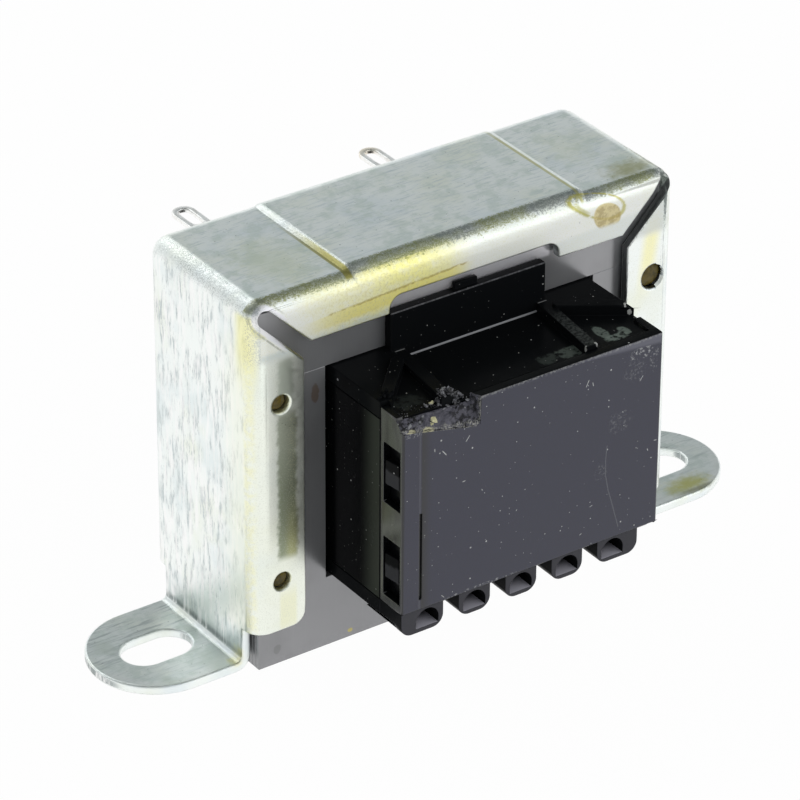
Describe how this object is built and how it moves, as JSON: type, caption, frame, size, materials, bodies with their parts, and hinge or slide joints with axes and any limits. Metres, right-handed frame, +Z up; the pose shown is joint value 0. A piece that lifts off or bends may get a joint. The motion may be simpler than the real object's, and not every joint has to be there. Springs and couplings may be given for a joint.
{
  "type": "chassis mount transformer",
  "caption": "Small chassis mount transformer: laminated iron core with a covered black bobbin and solder tags, clamped in a folded zinc plated steel frame with slotted feet.",
  "frame": {"origin": "midway between the fixing slots of the feet, on the plane that the feet stand on", "axes": "+X along the feet from left to right, -Y towards the front with the chipped cover, +Z up from the feet"},
  "size_m": [0.0664, 0.04, 0.0367],
  "materials": {
    "zinc_plated_steel": "zinc plated and passivated, with a yellow tinge along the bends",
    "core_steel": "grey oxide with thin varnish",
    "bobbin_plastic": "black moulding, semi-gloss",
    "cover_plastic": "black moulding, semi-gloss, dusty",
    "enamelled_copper": "enamelled copper wire",
    "film_tape": "yellow film tape",
    "tinned_brass": "dull tin plate"
  },
  "bodies": {
    "root": {"clamp_frame": "zinc_plated_steel", "e_laminations": "core_steel", "i_laminations": "core_steel", "bobbin": "bobbin_plastic", "front_cover": "cover_plastic", "rear_cover": "cover_plastic", "right_side_plate": "cover_plastic", "left_side_plate": "cover_plastic", "primary_winding": "enamelled_copper", "secondary_winding": "enamelled_copper", "primary_tape": "film_tape", "secondary_tape": "film_tape", "primary_tag_left": "tinned_brass", "primary_tag_right": "tinned_brass", "secondary_tag_left": "tinned_brass", "secondary_tag_right": "tinned_brass", "primary_lead_left": "enamelled_copper", "primary_lead_right": "enamelled_copper", "secondary_lead_left": "enamelled_copper", "secondary_lead_right": "enamelled_copper"}
  },
  "joints": []
}
